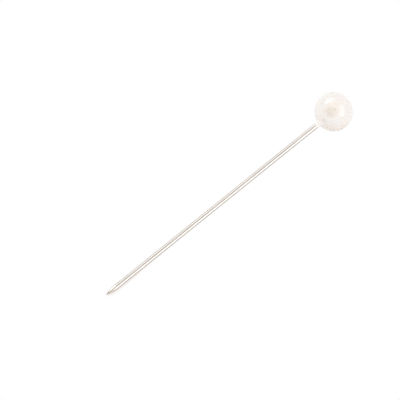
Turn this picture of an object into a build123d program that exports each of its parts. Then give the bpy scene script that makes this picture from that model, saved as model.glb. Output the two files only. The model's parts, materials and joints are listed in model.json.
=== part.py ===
"""Pearl-headed hat pin: a steel wire pin glued into an imitation pearl.

The pin lies at rest on a flat surface, which is z = 0. Its head is towards +X and its point
towards -X. It touches the surface under the head's centre and under the start of the ground
point, so the shaft falls from the head at a few degrees and the tip stays just off the surface.

Every piece is a body of revolution about the pin's own axis. Its half profile is drawn in
half_plane, whose local x is the distance from the head's centre towards the point, and whose
local y is the distance from the axis.
"""

import os
from math import acos, atan2, cos, degrees, hypot, radians, sin, sqrt, tan

from build123d import *

# Driving dimensions, in millimetres.
overall_length = 65.0
head_diameter = 8.0
shaft_diameter = 1.05
point_length = 2.7  # ground length, from the full wire to the tip
tip_radius = 0.12
coat_thickness = 0.14  # pearl lacquer over the bead
neck_length = 0.9  # lacquer along the wire, from the head's surface to its edge
neck_fillet = 0.5
neck_thickness = 0.05  # lacquer on the wire, where the neck's fillet ends
lip_thickness = 0.03  # the same at its rounded edge
tang_end_diameter = 0.92  # the wire tapers to this in the bead, where it is swaged
tang_end_chamfer = 0.12
bore_diameter = 1.24
bore_depth = 6.0
bore_end_gap = 0.30  # room left for glue behind the wire
bore_end_angle = 118.0  # included angle of the bore's conical end, in degrees
bore_mouth_chamfer = 0.15
glue_fillet = 0.40
grip_groove_count = 3
grip_groove_pitch = 1.2
grip_groove_depth = 0.11

# Sizes that follow from them.
head_radius = head_diameter / 2
shaft_radius = shaft_diameter / 2
bore_radius = bore_diameter / 2
tang_end_radius = tang_end_diameter / 2
core_radius = head_radius - coat_thickness
tip_distance = overall_length - head_radius
point_start = tip_distance - point_length
neck_end = head_radius + neck_length
bore_floor = core_radius - bore_depth
bore_end = bore_floor - bore_radius / tan(radians(bore_end_angle / 2))
tang_end = bore_floor + bore_end_gap

# The ground point is an arc that leaves the wire tangentially and ends in a small round tip.
tip_centre_distance = tip_distance - tip_radius
point_run = tip_centre_distance - point_start
point_arc_radius = (point_run**2 + shaft_radius**2 - tip_radius**2) / (2 * (shaft_radius - tip_radius))
tip_share = tip_radius / (point_arc_radius - tip_radius)
tip_meeting = (
    tip_centre_distance + point_run * tip_share,
    (point_arc_radius - shaft_radius) * tip_share,
)

# The surface touches the head and the ground arc, which gives the axis its slope.
arc_centre_height = point_arc_radius - shaft_radius
arc_centre_reach = hypot(arc_centre_height, point_start)
slope = acos((point_arc_radius - head_radius) / arc_centre_reach) - atan2(point_start, arc_centre_height)
lowest_x = -(tip_centre_distance * cos(slope) + tip_radius)
head_centre_x = -(lowest_x + head_radius) / 2

towards_point = Vector(-cos(slope), 0, -sin(slope))
head_centre = Vector(head_centre_x, 0, head_radius)
half_plane = Plane(origin=head_centre, x_dir=towards_point, z_dir=(0, 1, 0))
pin_axis = Axis(head_centre, towards_point)


def fillet_points(ball_radius, rod_radius, radius):
    """Where a fillet between a ball and a rod along the axis meets the ball, and the rod."""
    centre_height = rod_radius + radius
    centre_distance = sqrt((ball_radius + radius) ** 2 - centre_height**2)
    share = ball_radius / (ball_radius + radius)
    on_ball = (centre_distance * share, centre_height * share)
    on_rod = (centre_distance, rod_radius)
    return on_ball, on_rod


def reach_of_ball(ball_radius, distance_from_axis):
    """How far along the axis a ball's surface is at that distance from the axis."""
    return sqrt(ball_radius**2 - distance_from_axis**2)


def tang_radius(distance):
    """The wire's radius on its tapered end, at that distance from the head's centre."""
    share = (distance - tang_end) / (neck_end - tang_end)
    return tang_end_radius + share * (shaft_radius - tang_end_radius)


# Wire: a grooved, tapered tang that the bead holds, the full gauge, and the ground point.
groove_middle = (tang_end + core_radius) / 2
groove_side = grip_groove_depth * sqrt(2)
with BuildPart() as pin_shaft:
    with BuildSketch(half_plane):
        with BuildLine():
            Polyline(
                (tip_distance, 0),
                (tang_end, 0),
                (tang_end, tang_end_radius - tang_end_chamfer),
                (tang_end + tang_end_chamfer, tang_radius(tang_end + tang_end_chamfer)),
                (neck_end, shaft_radius),
                (point_start, shaft_radius),
            )
            point_arc = TangentArc((point_start, shaft_radius), tip_meeting, tangent=(1, 0))
            TangentArc(tip_meeting, (tip_distance, 0), tangent=point_arc % 1)
        make_face()
    revolve(axis=pin_axis)
    with BuildSketch(half_plane):
        for number in range(grip_groove_count):
            groove_at = groove_middle + (number - (grip_groove_count - 1) / 2) * grip_groove_pitch
            with Locations((groove_at, tang_radius(groove_at))):
                Rectangle(groove_side, groove_side, rotation=45)
    revolve(axis=pin_axis, mode=Mode.SUBTRACT)

# Moulded bead with a blind bore, open towards the point.
chamfer_edge = bore_radius + bore_mouth_chamfer
chamfer_on_ball = (reach_of_ball(core_radius, chamfer_edge), chamfer_edge)
with BuildPart() as bead_core:
    with BuildSketch(half_plane):
        with BuildLine():
            Polyline(
                (-core_radius, 0),
                (bore_end, 0),
                (bore_floor, bore_radius),
                (chamfer_on_ball[0] - bore_mouth_chamfer, bore_radius),
                chamfer_on_ball,
            )
            ThreePointArc(chamfer_on_ball, (0, core_radius), (-core_radius, 0))
        make_face()
    revolve(axis=pin_axis)

# Glue that fills the bore round the wire and stands as a small fillet at its mouth.
glue_on_ball, glue_on_wire = fillet_points(core_radius, tang_radius(core_radius), glue_fillet)
with BuildPart() as glue_fill:
    with BuildSketch(half_plane):
        with BuildLine():
            Polyline(
                (glue_on_wire[0], 0),
                (bore_end, 0),
                (bore_floor, bore_radius),
                (bore_floor, glue_on_ball[1]),
                glue_on_ball,
            )
            TangentArc(glue_on_wire, glue_on_ball, tangent=(-1, 0))
            Line(glue_on_wire, (glue_on_wire[0], 0))
        make_face()
    revolve(axis=pin_axis)
    add(bead_core.part, mode=Mode.SUBTRACT)
    add(pin_shaft.part, mode=Mode.SUBTRACT)

# Pearl lacquer: a skin over the whole bead that runs down a neck on to the wire.
neck_on_ball, neck_on_wire = fillet_points(head_radius, shaft_radius + neck_thickness, neck_fillet)
lip_start = (neck_end - lip_thickness, shaft_radius + lip_thickness)
with BuildPart() as pearl_coating:
    with BuildSketch(half_plane):
        with BuildLine():
            ThreePointArc((-head_radius, 0), (0, head_radius), neck_on_ball)
            TangentArc(neck_on_wire, neck_on_ball, tangent=(-1, 0))
            Line(neck_on_wire, lip_start)
            TangentArc(lip_start, (neck_end, shaft_radius), tangent=(1, 0))
            Polyline((neck_end, shaft_radius), (neck_end, 0), (-head_radius, 0))
        make_face()
    revolve(axis=pin_axis)
    add(bead_core.part, mode=Mode.SUBTRACT)
    add(glue_fill.part, mode=Mode.SUBTRACT)
    add(pin_shaft.part, mode=Mode.SUBTRACT)

os.makedirs("parts", exist_ok=True)
pin_shaft.part.label = "pin_shaft"
bead_core.part.label = "bead_core"
glue_fill.part.label = "glue_fill"
pearl_coating.part.label = "pearl_coating"
for piece in (pin_shaft, bead_core, glue_fill, pearl_coating):
    export_step(piece.part, f"parts/{piece.part.label}.step")
    print(piece.part.label, "volume in mm3", round(piece.part.volume, 4))

wire_run = point_start - neck_end
wire_middle = head_centre + towards_point * (neck_end + wire_run / 2)
print("full wire outside the head: middle", wire_middle, "length", wire_run)
print("towards the point", towards_point, "slope in degrees", degrees(slope))
print("head centre", head_centre)
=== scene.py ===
"""The looks of a pearl-headed hat pin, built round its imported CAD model.

The pin lies on a white floor, head to +X and point to -X, lit by two softboxes and a pale tent.
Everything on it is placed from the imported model: the head's centre, the pin's axis, and where the
lacquered neck ends and the ground point begins. Lengths are in metres.

Two visible pieces replace their CAD nodes. The wire gets a slightly worn, ground point. The pearl
gets the uneven, hand-dipped shape of a lacquered bead. The bead and the glue inside keep their CAD
shape and get materials.
"""

import json
import math

import bpy
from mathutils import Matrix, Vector, noise

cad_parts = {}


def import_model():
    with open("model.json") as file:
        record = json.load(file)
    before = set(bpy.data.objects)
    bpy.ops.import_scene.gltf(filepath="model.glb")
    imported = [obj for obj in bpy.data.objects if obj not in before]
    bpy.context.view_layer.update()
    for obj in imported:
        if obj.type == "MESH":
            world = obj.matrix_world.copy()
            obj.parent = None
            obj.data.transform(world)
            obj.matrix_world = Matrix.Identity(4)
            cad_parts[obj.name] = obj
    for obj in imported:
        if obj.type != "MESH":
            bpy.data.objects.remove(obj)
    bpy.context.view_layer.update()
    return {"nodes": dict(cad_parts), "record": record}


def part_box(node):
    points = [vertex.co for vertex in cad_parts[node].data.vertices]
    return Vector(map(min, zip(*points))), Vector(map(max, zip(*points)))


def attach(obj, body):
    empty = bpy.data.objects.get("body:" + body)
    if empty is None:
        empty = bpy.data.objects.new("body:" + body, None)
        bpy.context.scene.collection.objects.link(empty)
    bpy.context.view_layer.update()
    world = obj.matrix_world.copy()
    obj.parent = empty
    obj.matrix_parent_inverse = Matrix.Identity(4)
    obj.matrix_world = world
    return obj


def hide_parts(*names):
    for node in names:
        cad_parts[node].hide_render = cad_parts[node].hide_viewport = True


MM = 0.001
WHITE = (1.0, 1.0, 1.0)

# Wire.
WIRE_SEGMENTS = 96
WIRE_RING_STEP = 0.5 * MM
POINT_RINGS = 48
TIP_RINGS = 6
TIP_RADIUS = 0.12 * MM
TIP_WEAR = 0.002 * MM  # how much shorter the worn tip is than the CAD one
TANG_END_RADIUS = 0.46 * MM
TANG_END_FACE = 0.75  # of that radius, inside the chamfer
TANG_END_CHAMFER = 0.12 * MM  # along the pin
WIRE_OVALNESS = 0.004  # share of the radius
POINT_FLATS = 5
POINT_FLAT_DEPTH = 0.02  # share of the local radius
POINT_FLAT_PHASE = 0.4  # radians
POINT_FLAT_FADE = 1.2 * MM  # along the point, until the flats have their full depth
DRAWN_LINE_STRETCH = (0.04, 9.0, 9.0)  # noise cells per millimetre, along and across the pin
NICKEL_PATCH_STRETCH = (0.35, 1.2, 1.2)
NICKEL_ROUGHNESS = (0.09, 0.16)
LACQUER_SMEAR = 0.9  # how far a thin film of lacquer runs past the neck, in millimetres
LACQUER_FILM = (1.12, 1.15, 1.19)  # its tint at the neck
LACQUER_FILM_ROUGHNESS = 0.32

# Pearl.
PEARL_SEGMENTS = 160
PEARL_RINGS = 110
NECK_RINGS = 28
COAT_THICKNESS = 0.14 * MM
POLE_RADIUS = 0.004 * MM  # of the small ring that closes the ball's far end
NECK_FOOT_RADIUS = 0.98 * MM  # where the neck leaves the ball, measured from the axis
NECK_PULL = 0.62  # how far the neck follows the ball before it turns, as a share of its length
NECK_LIP_PULL = 0.75  # how far the neck follows the wire before its lip, as a share of its length
NECK_LIP_LIFT = 0.01 * MM
LIP_THICKNESS = 0.03 * MM
LIP_ROUNDING = 0.3  # of the lip's thickness
PEARL_SQUEEZE = 0.022  # share of the radius that the pearl is narrower across the squeezed way
PEARL_SQUEEZE_AZIMUTH = -41.0  # degrees from +X
NECK_STILL_RADIUS = 0.8 * MM  # nearer the axis, the squeeze and the waves leave the neck alone
NECK_FREE_RADIUS = 1.7 * MM
PEARL_WAVE = 0.009 * MM
PEARL_WAVE_SIZE = 2.6 * MM
PEARL_ROUGHNESS = (0.30, 0.40)  # of the pearl essence under the clear coat
PEARL_IOR = 1.45
PEARL_COAT_ROUGHNESS = 0.05
PEARL_COAT_IOR = 1.6

# Painted shade and reflections on the pearl, placed as the lights are: a warmer middle and a greyer patch
# left of it where the dark photographer reflects, a cooler patch below the middle where the floor
# reflects, and warmer, darker shade towards the bottom and the right. Core and reach are in millimetres.
PEARL_PAINTED_SHADE = [
    {"turn": -170.0, "up": 64.0, "core": 0.6, "reach": 2.2, "tint": (1.0, 0.98, 0.945)},
    {"turn": -140.0, "up": 53.0, "core": 0.5, "reach": 1.8, "tint": (0.91, 0.895, 0.885)},
    {"turn": -176.0, "up": 32.0, "core": 0.8, "reach": 1.9, "tint": (0.99, 1.0, 1.02)},
    {"turn": -163.0, "up": -11.0, "core": 0.6, "reach": 1.9, "tint": (0.98, 0.94, 0.905)},
    {"turn": 156.0, "up": -8.0, "core": 0.6, "reach": 2.0, "tint": (0.98, 0.945, 0.91)},
    {"turn": 116.0, "up": 32.0, "core": 0.8, "reach": 2.2, "tint": (0.98, 0.97, 0.955)},
]
# Two real dark specks, and a painted reflection of the wire.
PEARL_SPECKS_AND_WIRE_REFLECTION = [
    {"turn": 178.0, "up": 65.0, "core": 0.08, "reach": 0.30, "tint": (0.90, 0.84, 0.79)},
    {"turn": 150.0, "up": 32.0, "core": 0.05, "reach": 0.22, "tint": (0.91, 0.86, 0.81)},
    # painted reflection: the dark wire reflected on the pearl, low on the left near the neck
    {"turn": -143.0, "up": 22.0, "core": 0.15, "reach": 0.55, "tint": (0.91, 0.90, 0.915)},
]
NECK_PAINTED_LIGHT = (1.06, 1.065, 1.08)  # painted light: the neck whiter than the ball, where its flare catches the light
NECK_PAINTED_LIGHT_FADE = (0.35, 0.05)  # from where to where it comes in, in millimetres inside the ball

# Inside the pearl.
BEAD_ROUGHNESS = (0.38, 0.5)
GLUE_ROUGHNESS = (0.12, 0.3)

# Camera, at a photographer's standing angle over a table.
CAMERA_AZIMUTH = -41.41
CAMERA_ELEVATION = 60.0
CAMERA_DISTANCE = 0.6
CAMERA_LENS = 269.188
CAMERA_SENSOR = 36.0
CAMERA_CLIP = (0.01, 20.0)
AIM_RIGHT = -4.366 * MM  # the pin lies right of the picture's middle
AIM_UP = 0.383 * MM

# Lights, as seen from the camera's azimuth: degrees to the right of straight away, and up.
SOFTBOXES = {
    "back_softbox": {"turn": -42.0, "up": 37.0, "size": 0.66, "radiance": 4.0},
    "side_softbox": {"turn": 92.0, "up": 42.0, "size": 1.10, "radiance": 0.95},
}
SOFTBOX_DISTANCE = 2.0
# The tent's patches multiply one another. Stops are (degrees from the patch's middle, colour).
TENT_PATCHES = [
    {  # the greyer top, and the walls
        "turn": 49.0,
        "up": 71.0,
        "stops": [
            (0, (0.78, 0.76, 0.74)),
            (10, (0.81, 0.79, 0.77)),
            (24, (1.02, 1.0, 0.98)),
            (90, (1.03, 1.02, 1.01)),
        ],
    },
    {  # the photographer
        "turn": -158.0,
        "up": 52.0,
        "stops": [(0, (0.35, 0.25, 0.18)), (24, (0.40, 0.30, 0.22)), (36, WHITE)],
    },
    {  # low fill, to the left of the camera
        "turn": -150.0,
        "up": 4.0,
        "stops": [(0, (1.6, 1.6, 1.6)), (25, (1.5, 1.5, 1.5)), (90, WHITE)],
    },
    {  # a dimmer far wall
        "turn": 15.0,
        "up": 0.0,
        "stops": [(0, (0.78, 0.78, 0.78)), (22, (0.82, 0.82, 0.82)), (60, WHITE)],
    },
    {  # a dark corner that outlines the point
        "turn": -50.0,
        "up": 6.0,
        "stops": [(0, (0.35, 0.34, 0.34)), (13, (0.45, 0.44, 0.44)), (19, WHITE)],
    },
    {  # glow for the light line on the wire's far side
        "turn": -21.0,
        "up": 42.0,
        "stops": [(0, (2.1, 2.1, 2.1)), (10, (1.95, 1.95, 1.95)), (20, WHITE)],
    },
    {  # glow for the light line on its near side
        "turn": 121.0,
        "up": 26.0,
        "stops": [(0, (2.6, 2.6, 2.6)), (10, (2.4, 2.4, 2.4)), (20, WHITE)],
    },
    {  # a faint glow at the left
        "turn": -80.0,
        "up": 30.0,
        "stops": [(0, (1.25, 1.25, 1.25)), (10, (1.2, 1.2, 1.2)), (22, WHITE)],
    },
]
FLOOR_SIZE = 4.0
FLOOR_DROP = 0.02 * MM
FLOOR_ALBEDO = 0.68
FLOOR_ROUGHNESS = 0.9
FLOOR_SPECULAR = 0.2
FLOOR_GLOW = 0.16
FLOOR_GLOW_COLOUR = (1.0, 0.995, 0.985)
SHADOW_REACH = 0.65 * MM
SHADOW_COLOUR = (0.92, 0.85, 0.82)
SHADOW_SAMPLES = 16


def pin_geometry(record):
    """The head's centre, the direction to the point, and distances along the axis, from the frame."""
    pearl_low, pearl_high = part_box("pearl_coating")
    wire_low, wire_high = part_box("pin_shaft")
    head_radius = (pearl_high.z - pearl_low.z) / 2
    centre = Vector((pearl_high.x - head_radius, 0.0, pearl_low.z + head_radius))
    shaft = record["mounts"][0]
    towards_point = Vector(shaft["axis"]).normalized()
    middle = (Vector(shaft["pos_m"]) - centre).dot(towards_point)
    half_run = shaft["dims"]["length_mm"] * MM / 2
    return {
        "centre": centre,
        "axis": towards_point,
        "head_radius": head_radius,
        "wire_radius": shaft["dims"]["r_mm"] * MM,
        "neck_end": middle - half_run,
        "point_start": middle + half_run,
        "tip": (centre.x - wire_low.x) / -towards_point.x - TIP_WEAR,
        "tang_end": centre.x - wire_high.x,
    }


def axis_frame(pin):
    """Two directions across the pin: sideways, and up from the shaft."""
    sideways = Vector((0.0, 1.0, 0.0))
    upwards = sideways.cross(pin["axis"]).normalized()
    if upwards.z < 0:
        upwards = -upwards
    return sideways, upwards


def blend_between(low, high, value):
    """0 at low, 1 at high and smooth between."""
    share = min(1.0, max(0.0, (value - low) / (high - low)))
    return share * share * (3 - 2 * share)


def lathe(name, pin, profile, segments, shape=None, closed_loop=False):
    """A mesh turned round the pin's axis from (distance, radius) points.

    shape(distance, angle, radius) gives the radius at an angle. The profile's two ends are poles on
    the axis, unless closed_loop says that the profile joins up with itself.
    """
    sideways, upwards = axis_frame(pin)
    vertices = []
    faces = []

    def place(distance, angle, radius):
        if shape:
            radius = shape(distance, angle, radius)
        across = sideways * math.cos(angle) + upwards * math.sin(angle)
        return pin["centre"] + pin["axis"] * distance + across * radius

    rings = profile if closed_loop else profile[1:-1]
    for distance, radius in rings:
        for step in range(segments):
            vertices.append(place(distance, 2 * math.pi * step / segments, radius))

    def band(first, second):
        for step in range(segments):
            following = (step + 1) % segments
            faces.append(
                (
                    first * segments + step,
                    first * segments + following,
                    second * segments + following,
                    second * segments + step,
                )
            )

    for number in range(len(rings) - 1):
        band(number, number + 1)
    if closed_loop:
        band(len(rings) - 1, 0)
    else:
        start_pole = len(vertices)
        vertices.append(pin["centre"] + pin["axis"] * profile[0][0])
        end_pole = len(vertices)
        vertices.append(pin["centre"] + pin["axis"] * profile[-1][0])
        last_ring = (len(rings) - 1) * segments
        for step in range(segments):
            following = (step + 1) % segments
            faces.append((start_pole, following, step))
            faces.append((end_pole, last_ring + step, last_ring + following))

    mesh = bpy.data.meshes.new(name)
    mesh.from_pydata(vertices, [], faces)
    piece = bpy.data.objects.new(name, mesh)
    bpy.context.scene.collection.objects.link(piece)
    store_pin_place(mesh, pin)
    mesh.shade_smooth()
    return piece


def store_pin_place(mesh, pin):
    """Keeps each vertex's place along and across the pin, in millimetres, for the materials."""
    sideways, upwards = axis_frame(pin)
    values = []
    for vertex in mesh.vertices:
        offset = vertex.co - pin["centre"]
        values += [offset.dot(pin["axis"]) / MM, offset.dot(sideways) / MM, offset.dot(upwards) / MM]
    layer = mesh.attributes.new("pin_place", "FLOAT_VECTOR", "POINT")
    layer.data.foreach_set("vector", values)


# Wire


def wire_profile(pin):
    """(distance, radius) points of the wire from its buried end to its tip."""
    full = pin["wire_radius"]
    points = [
        (pin["tang_end"], 0.0),
        (pin["tang_end"], TANG_END_RADIUS * TANG_END_FACE),
        (pin["tang_end"] + TANG_END_CHAMFER, TANG_END_RADIUS),
        (pin["neck_end"], full),
    ]
    straight = pin["point_start"] - pin["neck_end"]
    count = round(straight / WIRE_RING_STEP)
    for number in range(1, count + 1):
        points.append((pin["neck_end"] + straight * number / count, full))
    points += point_profile(pin)
    return points


def point_profile(pin):
    """The ground arc from the full wire, tangent to a small round tip."""
    full = pin["wire_radius"]
    tip_centre = pin["tip"] - TIP_RADIUS
    run = tip_centre - pin["point_start"]
    arc_radius = (run**2 + full**2 - TIP_RADIUS**2) / (2 * (full - TIP_RADIUS))
    meeting = run * (1 + TIP_RADIUS / (arc_radius - TIP_RADIUS))
    points = []
    for number in range(1, POINT_RINGS + 1):
        along = meeting * math.sin(math.pi / 2 * number / POINT_RINGS)
        radius = full - arc_radius + math.sqrt(arc_radius**2 - along**2)
        points.append((pin["point_start"] + along, radius))
    start = math.asin(min(1.0, meeting / arc_radius))
    for number in range(1, TIP_RINGS + 1):
        turn = start + (math.pi / 2 - start) * number / TIP_RINGS
        radius = TIP_RADIUS * math.cos(turn)
        points.append((tip_centre + TIP_RADIUS * math.sin(turn), radius if number < TIP_RINGS else 0.0))
    return points


def wire_shape(pin):
    """A wire that is a hair oval, with faint flats left by the grinding of the point."""

    def radius_at(distance, angle, radius):
        oval = 1 - WIRE_OVALNESS * (1 - math.cos(2 * angle)) / 2
        ground = blend_between(pin["point_start"], pin["point_start"] + POINT_FLAT_FADE, distance)
        flat = 1 - POINT_FLAT_DEPTH * ground * (1 + math.cos(POINT_FLATS * angle + POINT_FLAT_PHASE)) / 2
        return radius * oval * flat

    return radius_at


def make_wire(pin):
    wire = lathe("steel_wire_pin", pin, wire_profile(pin), WIRE_SEGMENTS, wire_shape(pin))
    wire.data.materials.append(nickel_steel(pin))
    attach(wire, "root")
    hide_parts("pin_shaft")
    return wire


# Pearl


def bezier(start, start_pull, end_pull, end, share):
    """A point on a cubic curve between start and end, for pairs of numbers."""
    rest = 1 - share
    weights = (rest**3, 3 * rest**2 * share, 3 * rest * share**2, share**3)
    corners = (start, start_pull, end_pull, end)
    return tuple(sum(w * c[i] for w, c in zip(weights, corners)) for i in range(2))


def pearl_profile(pin):
    """The skin's section: over the ball, down the neck to its lip, and back along the bead."""
    ball = pin["head_radius"]
    core = ball - COAT_THICKNESS
    wire = pin["wire_radius"]
    foot_turn = math.asin(NECK_FOOT_RADIUS / ball)
    points = []
    for number in range(PEARL_RINGS + 1):
        turn = math.pi - (math.pi - foot_turn) * number / PEARL_RINGS
        points.append((ball * math.cos(turn), max(ball * math.sin(turn), POLE_RADIUS)))
    foot = (ball * math.cos(foot_turn), NECK_FOOT_RADIUS)
    lip = (pin["neck_end"] - LIP_THICKNESS, wire + LIP_THICKNESS)
    reach = lip[0] - foot[0]
    pull = NECK_PULL * (NECK_FOOT_RADIUS - lip[1])
    foot_pull = (foot[0] + pull * math.sin(foot_turn), foot[1] - pull * math.cos(foot_turn))
    lip_pull = (lip[0] - NECK_LIP_PULL * reach, lip[1] + NECK_LIP_LIFT)
    for number in range(1, NECK_RINGS + 1):
        points.append(bezier(foot, foot_pull, lip_pull, lip, number / NECK_RINGS))
    lip_corner = LIP_ROUNDING * LIP_THICKNESS
    points.append((pin["neck_end"] - lip_corner, lip[1] - lip_corner))
    points.append((pin["neck_end"], wire))
    inner_start = math.asin(wire / core)
    points.append((core * math.cos(inner_start), wire))
    inner_rings = PEARL_RINGS // 2
    for number in range(1, inner_rings + 1):
        turn = inner_start + (math.pi - inner_start) * number / inner_rings
        points.append((core * math.cos(turn), max(core * math.sin(turn), POLE_RADIUS)))
    return points


def uneven_pearl(mesh, pin):
    """Presses the ball slightly narrower one way and gives its skin slow, shallow waves."""
    turn = math.radians(PEARL_SQUEEZE_AZIMUTH)
    squeezed_way = Vector((math.cos(turn), math.sin(turn), 0.0))
    core = pin["head_radius"] - COAT_THICKNESS / 2
    for vertex in mesh.vertices:
        offset = vertex.co - pin["centre"]
        distance = offset.length
        if distance < core:
            continue
        away = offset / distance
        from_axis = (offset - pin["axis"] * offset.dot(pin["axis"])).length
        front = offset.dot(pin["axis"]) > 0
        on_ball = blend_between(NECK_STILL_RADIUS, NECK_FREE_RADIUS, from_axis) if front else 1.0
        wave = noise.noise(offset / PEARL_WAVE_SIZE) * PEARL_WAVE - PEARL_WAVE
        squeeze = -PEARL_SQUEEZE * distance * away.dot(squeezed_way) ** 2
        vertex.co = vertex.co + away * (squeeze + wave) * on_ball


def make_pearl(pin):
    pearl = lathe("pearl_skin", pin, pearl_profile(pin), PEARL_SEGMENTS, closed_loop=True)
    uneven_pearl(pearl.data, pin)
    pearl.data.materials.append(pearl_lacquer(pin))
    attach(pearl, "root")
    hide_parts("pearl_coating")
    return pearl


# Materials


def new_material(name):
    """A material with a Principled shader, and its node tree."""
    material = bpy.data.materials.new(name)
    material.use_nodes = True
    tree = material.node_tree
    shader = next(n for n in tree.nodes if n.type == "BSDF_PRINCIPLED")
    return material, tree, shader


def pin_place(tree):
    """The stored place along and across the pin, in millimetres."""
    node = tree.nodes.new("ShaderNodeAttribute")
    node.attribute_name = "pin_place"
    return node.outputs["Vector"]


def row_place(tree):
    """A CAD node's own coordinates, in millimetres."""
    coordinates = tree.nodes.new("ShaderNodeTexCoord")
    return scaled(tree, coordinates.outputs["Object"], (1000.0, 1000.0, 1000.0))


def along_pin(tree, place):
    """The distance along the axis, from the stored place."""
    parts = tree.nodes.new("ShaderNodeSeparateXYZ")
    tree.links.new(place, parts.inputs["Vector"])
    return parts.outputs["X"]


def scaled(tree, vector, by):
    node = tree.nodes.new("ShaderNodeVectorMath")
    node.operation = "MULTIPLY"
    tree.links.new(vector, node.inputs[0])
    node.inputs[1].default_value = by
    return node.outputs["Vector"]


def noise_value(tree, vector, scale, detail=2.0, roughness=0.5, distortion=0.0):
    node = tree.nodes.new("ShaderNodeTexNoise")
    tree.links.new(vector, node.inputs["Vector"])
    node.inputs["Scale"].default_value = scale
    node.inputs["Detail"].default_value = detail
    node.inputs["Roughness"].default_value = roughness
    node.inputs["Distortion"].default_value = distortion
    return node.outputs["Fac"]


def ramp(tree, factor, stops):
    """A colour ramp through (position, colour) stops."""
    node = tree.nodes.new("ShaderNodeValToRGB")
    tree.links.new(factor, node.inputs["Fac"])
    elements = node.color_ramp.elements
    while len(elements) < len(stops):
        elements.new(0.5)
    for element, (position, colour) in zip(elements, stops):
        element.position = position
        element.color = (*colour, 1.0)
    return node.outputs["Color"]


def mixed(tree, factor, first, second, blend_type="MIX"):
    """Mixes two colours. The factor may be a number or a socket."""
    node = tree.nodes.new("ShaderNodeMix")
    node.data_type = "RGBA"
    node.blend_type = blend_type
    if isinstance(factor, float):
        node.inputs["Factor"].default_value = factor
    else:
        tree.links.new(factor, node.inputs["Factor"])
    tree.links.new(first, node.inputs["A"])
    tree.links.new(second, node.inputs["B"])
    return node.outputs["Result"]


def to_range(tree, value, low, high, new_low, new_high):
    node = tree.nodes.new("ShaderNodeMapRange")
    tree.links.new(value, node.inputs["Value"])
    node.inputs["From Min"].default_value = low
    node.inputs["From Max"].default_value = high
    node.inputs["To Min"].default_value = new_low
    node.inputs["To Max"].default_value = new_high
    return node.outputs["Result"]


def add_bump(tree, shader, height, strength, distance):
    node = tree.nodes.new("ShaderNodeBump")
    node.inputs["Strength"].default_value = strength
    node.inputs["Distance"].default_value = distance
    tree.links.new(height, node.inputs["Height"])
    tree.links.new(node.outputs["Normal"], shader.inputs["Normal"])


def nickel_steel(pin):
    """Bright nickel plate over drawn wire, with faint lengthwise lines and a lacquer film at the neck."""
    material, tree, shader = new_material("nickel_plated_steel")
    place = pin_place(tree)
    drawn_place = scaled(tree, place, DRAWN_LINE_STRETCH)
    lines = noise_value(tree, drawn_place, scale=1.0, detail=3.0, roughness=0.6)
    patches = noise_value(tree, scaled(tree, place, NICKEL_PATCH_STRETCH), scale=1.0)
    tone = ramp(tree, patches, [(0.3, (0.57, 0.54, 0.51)), (0.7, (0.62, 0.59, 0.56))])
    shader.inputs["Metallic"].default_value = 1.0
    neck_end = pin["neck_end"] / MM
    haze = to_range(tree, along_pin(tree, place), neck_end + LACQUER_SMEAR, neck_end, 0.0, 1.0)
    bare = to_range(tree, lines, 0.3, 0.7, *NICKEL_ROUGHNESS)
    smeared = tree.nodes.new("ShaderNodeMix")
    tree.links.new(haze, smeared.inputs["Factor"])
    tree.links.new(bare, smeared.inputs["A"])
    smeared.inputs["B"].default_value = LACQUER_FILM_ROUGHNESS
    tree.links.new(smeared.outputs["Result"], shader.inputs["Roughness"])
    film = ramp(tree, haze, [(0.0, WHITE), (1.0, LACQUER_FILM)])
    tree.links.new(mixed(tree, 1.0, tone, film, "MULTIPLY"), shader.inputs["Base Color"])
    add_bump(tree, shader, lines, strength=0.12, distance=0.01 * MM)
    return material


def shading_and_speck_tint(tree, colour, place, pin, tint_spot):
    """Tints the colour round one place on the pearl, with an uneven edge. It paints shade and
    reflections, and real specks.
    """
    sideways, upwards = axis_frame(pin)
    direction = seen_direction(tint_spot["turn"], tint_spot["up"])
    spot = [direction.dot(way) * pin["head_radius"] / MM for way in (pin["axis"], sideways, upwards)]
    apart = tree.nodes.new("ShaderNodeVectorMath")
    apart.operation = "DISTANCE"
    tree.links.new(place, apart.inputs[0])
    apart.inputs[1].default_value = spot
    strength = to_range(tree, apart.outputs["Value"], tint_spot["reach"], tint_spot["core"], 0.0, 1.0)
    tint = ramp(tree, strength, [(0.0, WHITE), (1.0, tint_spot["tint"])])
    return mixed(tree, 1.0, colour, tint, "MULTIPLY")


def wandering(tree, place, scale, amount):
    """Shifts a place a little by smooth noise, so that patches round it have uneven edges."""
    drift = tree.nodes.new("ShaderNodeTexNoise")
    tree.links.new(place, drift.inputs["Vector"])
    drift.inputs["Scale"].default_value = scale
    centred = tree.nodes.new("ShaderNodeVectorMath")
    centred.operation = "SUBTRACT"
    tree.links.new(drift.outputs["Color"], centred.inputs[0])
    centred.inputs[1].default_value = (0.5, 0.5, 0.5)
    moved = tree.nodes.new("ShaderNodeVectorMath")
    moved.operation = "ADD"
    tree.links.new(place, moved.inputs[0])
    tree.links.new(scaled(tree, centred.outputs["Vector"], (amount, amount, amount)), moved.inputs[1])
    return moved.outputs["Vector"]


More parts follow.
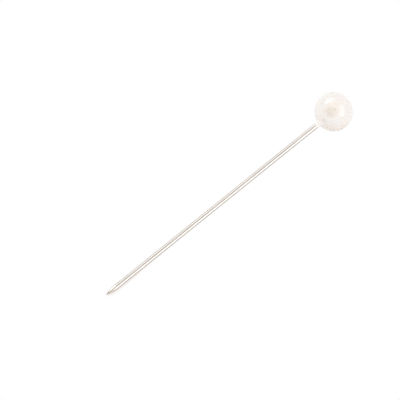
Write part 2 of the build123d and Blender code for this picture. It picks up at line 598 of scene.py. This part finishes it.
def pearl_lacquer(pin):
    """Pearl essence under clear lacquer: cream with faint pink and green clouds, and a soft gloss."""
    material, tree, shader = new_material("pearl_lacquer")
    place = pin_place(tree)
    clouds = noise_value(tree, place, scale=0.9, detail=3.0, roughness=0.6, distortion=0.6)
    flecks = noise_value(tree, place, scale=3.0)
    colour = ramp(
        tree,
        clouds,
        [
            (0.30, (0.805, 0.815, 0.81)),
            (0.45, (0.81, 0.805, 0.80)),
            (0.58, (0.82, 0.795, 0.78)),
            (0.72, (0.825, 0.795, 0.795)),
        ],
    )
    fleck_tint = ramp(tree, flecks, [(0.35, (0.98, 0.975, 0.968)), (0.65, (0.995, 0.99, 0.984))])
    colour = mixed(tree, 1.0, colour, fleck_tint, "MULTIPLY")
    uneven_place = wandering(tree, place, scale=1.1, amount=1.6)
    # Painted shade and reflections.
    for tint_spot in PEARL_PAINTED_SHADE:
        colour = shading_and_speck_tint(tree, colour, uneven_place, pin, tint_spot)
    # Real specks, and the painted reflection of the wire.
    for dark_spot in PEARL_SPECKS_AND_WIRE_REFLECTION:
        colour = shading_and_speck_tint(tree, colour, place, pin, dark_spot)
    # Painted light: the neck's flare is made whiter, where it catches the light.
    head = pin["head_radius"] / MM
    fade_start, fade_end = NECK_PAINTED_LIGHT_FADE
    on_neck = to_range(tree, along_pin(tree, place), head - fade_start, head - fade_end, 0.0, 1.0)
    whitened = ramp(tree, on_neck, [(0.0, WHITE), (1.0, NECK_PAINTED_LIGHT)])
    colour = mixed(tree, 1.0, colour, whitened, "MULTIPLY")
    tree.links.new(colour, shader.inputs["Base Color"])
    rough = to_range(tree, flecks, 0.3, 0.7, *PEARL_ROUGHNESS)
    tree.links.new(rough, shader.inputs["Roughness"])
    shader.inputs["IOR"].default_value = PEARL_IOR
    shader.inputs["Coat Weight"].default_value = 1.0
    shader.inputs["Coat Roughness"].default_value = PEARL_COAT_ROUGHNESS
    shader.inputs["Coat IOR"].default_value = PEARL_COAT_IOR
    ripples = noise_value(tree, place, scale=1.6)
    add_bump(tree, shader, ripples, strength=0.10, distance=0.01 * MM)
    return material


def bead_plastic():
    """The moulded bead under the lacquer: milky plastic with faint flow marks."""
    material, tree, shader = new_material("bead_plastic")
    flow = noise_value(tree, row_place(tree), scale=0.6, detail=3.0, distortion=1.5)
    tone = ramp(tree, flow, [(0.3, (0.84, 0.82, 0.77)), (0.7, (0.90, 0.89, 0.85))])
    tree.links.new(tone, shader.inputs["Base Color"])
    rough = to_range(tree, flow, 0.3, 0.7, *BEAD_ROUGHNESS)
    tree.links.new(rough, shader.inputs["Roughness"])
    return material


def clear_glue():
    """Set glue: pale amber with small cloudy bubbles."""
    material, tree, shader = new_material("clear_glue")
    bubbles = noise_value(tree, row_place(tree), scale=6.0)
    tone = ramp(tree, bubbles, [(0.4, (0.78, 0.70, 0.50)), (0.6, (0.86, 0.81, 0.66))])
    tree.links.new(tone, shader.inputs["Base Color"])
    rough = to_range(tree, bubbles, 0.3, 0.7, *GLUE_ROUGHNESS)
    tree.links.new(rough, shader.inputs["Roughness"])
    return material


def finish_inner_nodes(nodes):
    """Gives the bead and the glue their materials. Their CAD shape stays."""
    for name, material in (("bead_core", bead_plastic()), ("glue_fill", clear_glue())):
        nodes[name].data.materials.clear()
        nodes[name].data.materials.append(material)


# Stage


def camera_directions():
    """Unit vectors from the object to the camera, and to the picture's right and up."""
    turn = math.radians(CAMERA_AZIMUTH)
    up = math.radians(CAMERA_ELEVATION)
    level_back = Vector((math.sin(turn), -math.cos(turn), 0.0))
    back = level_back * math.cos(up) + Vector((0.0, 0.0, math.sin(up)))
    right = Vector((math.cos(turn), math.sin(turn), 0.0))
    return back, right, back.cross(right)


def add_camera(pin):
    back, right, upwards = camera_directions()
    middle = pin["centre"] + pin["axis"] * pin["tip"] / 2
    aim = middle + right * AIM_RIGHT + upwards * AIM_UP
    data = bpy.data.cameras.new("camera")
    data.lens = CAMERA_LENS
    data.sensor_width = CAMERA_SENSOR
    data.clip_start, data.clip_end = CAMERA_CLIP
    camera = bpy.data.objects.new("camera", data)
    camera.location = aim + back * CAMERA_DISTANCE
    camera.rotation_euler = back.to_track_quat("Z", "Y").to_euler()
    bpy.context.scene.collection.objects.link(camera)
    bpy.context.scene.camera = camera


def seen_direction(turn, up):
    """A unit vector from the pin: degrees to the right of straight away from the camera, and up."""
    away = math.radians(CAMERA_AZIMUTH + 90.0 - turn)
    climb = math.radians(up)
    return Vector((math.cos(away) * math.cos(climb), math.sin(away) * math.cos(climb), math.sin(climb)))


def add_softbox(name, pin, box):
    """A square lamp that faces the pin and that the camera doesn't see."""
    direction = seen_direction(box["turn"], box["up"])
    data = bpy.data.lights.new(name, "AREA")
    data.shape = "SQUARE"
    data.size = box["size"]
    data.energy = box["radiance"] * math.pi * box["size"] ** 2
    lamp = bpy.data.objects.new(name, data)
    lamp.location = pin["centre"] + pin["axis"] * pin["tip"] / 2 + direction * SOFTBOX_DISTANCE
    lamp.rotation_euler = direction.to_track_quat("Z", "Y").to_euler()
    lamp.visible_camera = False
    bpy.context.scene.collection.objects.link(lamp)


def tent_patch(tree, patch):
    """A colour that depends on how near a direction is to the patch's middle."""
    coordinates = tree.nodes.new("ShaderNodeTexCoord")
    nearness = tree.nodes.new("ShaderNodeVectorMath")
    nearness.operation = "DOT_PRODUCT"
    tree.links.new(coordinates.outputs["Generated"], nearness.inputs[0])
    nearness.inputs[1].default_value = seen_direction(patch["turn"], patch["up"])
    cosines = [(math.cos(math.radians(degrees)), colour) for degrees, colour in patch["stops"]]
    return ramp(tree, nearness.outputs["Value"], sorted(cosines))


def add_tent():
    """The world: a pale tent with brighter and darker patches, white to the camera."""
    world = bpy.data.worlds.new("tent")
    bpy.context.scene.world = world
    world.use_nodes = True
    tree = world.node_tree
    tree.nodes.clear()
    surroundings = tent_patch(tree, TENT_PATCHES[0])
    for patch in TENT_PATCHES[1:]:
        surroundings = mixed(tree, 1.0, surroundings, tent_patch(tree, patch), "MULTIPLY")
    seen = tree.nodes.new("ShaderNodeLightPath")
    lit = tree.nodes.new("ShaderNodeBackground")
    white = tree.nodes.new("ShaderNodeBackground")
    white.inputs["Color"].default_value = (*WHITE, 1.0)
    tree.links.new(surroundings, lit.inputs["Color"])
    choice = tree.nodes.new("ShaderNodeMixShader")
    tree.links.new(seen.outputs["Is Camera Ray"], choice.inputs["Fac"])
    tree.links.new(lit.outputs["Background"], choice.inputs[1])
    tree.links.new(white.outputs["Background"], choice.inputs[2])
    output = tree.nodes.new("ShaderNodeOutputWorld")
    tree.links.new(choice.outputs["Shader"], output.inputs["Surface"])


def add_floor():
    """A light table: plain white to the camera but for soft contact shadows, and pale to the lights."""
    half = FLOOR_SIZE / 2
    corners = [(-half, -half), (half, -half), (half, half), (-half, half)]
    mesh = bpy.data.meshes.new("floor")
    mesh.from_pydata([(x, y, -FLOOR_DROP) for x, y in corners], [], [(0, 1, 2, 3)])
    floor = bpy.data.objects.new("floor", mesh)
    bpy.context.scene.collection.objects.link(floor)
    material, tree, shader = new_material("floor_white")
    shader.inputs["Base Color"].default_value = (*[FLOOR_ALBEDO] * 3, 1.0)
    shader.inputs["Roughness"].default_value = FLOOR_ROUGHNESS
    shader.inputs["Specular IOR Level"].default_value = FLOOR_SPECULAR
    shader.inputs["Emission Color"].default_value = (*FLOOR_GLOW_COLOUR, 1.0)
    shader.inputs["Emission Strength"].default_value = FLOOR_GLOW
    nearby = tree.nodes.new("ShaderNodeAmbientOcclusion")
    nearby.samples = SHADOW_SAMPLES
    nearby.inputs["Distance"].default_value = SHADOW_REACH
    shade = ramp(tree, nearby.outputs["AO"], [(0.45, SHADOW_COLOUR), (0.97, WHITE)])
    sheet = tree.nodes.new("ShaderNodeEmission")
    tree.links.new(shade, sheet.inputs["Color"])
    seen = tree.nodes.new("ShaderNodeLightPath")
    choice = tree.nodes.new("ShaderNodeMixShader")
    tree.links.new(seen.outputs["Is Camera Ray"], choice.inputs["Fac"])
    tree.links.new(shader.outputs["BSDF"], choice.inputs[1])
    tree.links.new(sheet.outputs["Emission"], choice.inputs[2])
    output = next(n for n in tree.nodes if n.type == "OUTPUT_MATERIAL")
    tree.links.new(choice.outputs["Shader"], output.inputs["Surface"])
    mesh.materials.append(material)


def main():
    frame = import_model()
    pin = pin_geometry(frame["record"])
    bpy.context.scene.view_settings.view_transform = "Standard"
    add_camera(pin)
    add_tent()
    for name, box in SOFTBOXES.items():
        add_softbox(name, pin, box)
    add_floor()
    make_wire(pin)
    make_pearl(pin)
    finish_inner_nodes(frame["nodes"])


main()
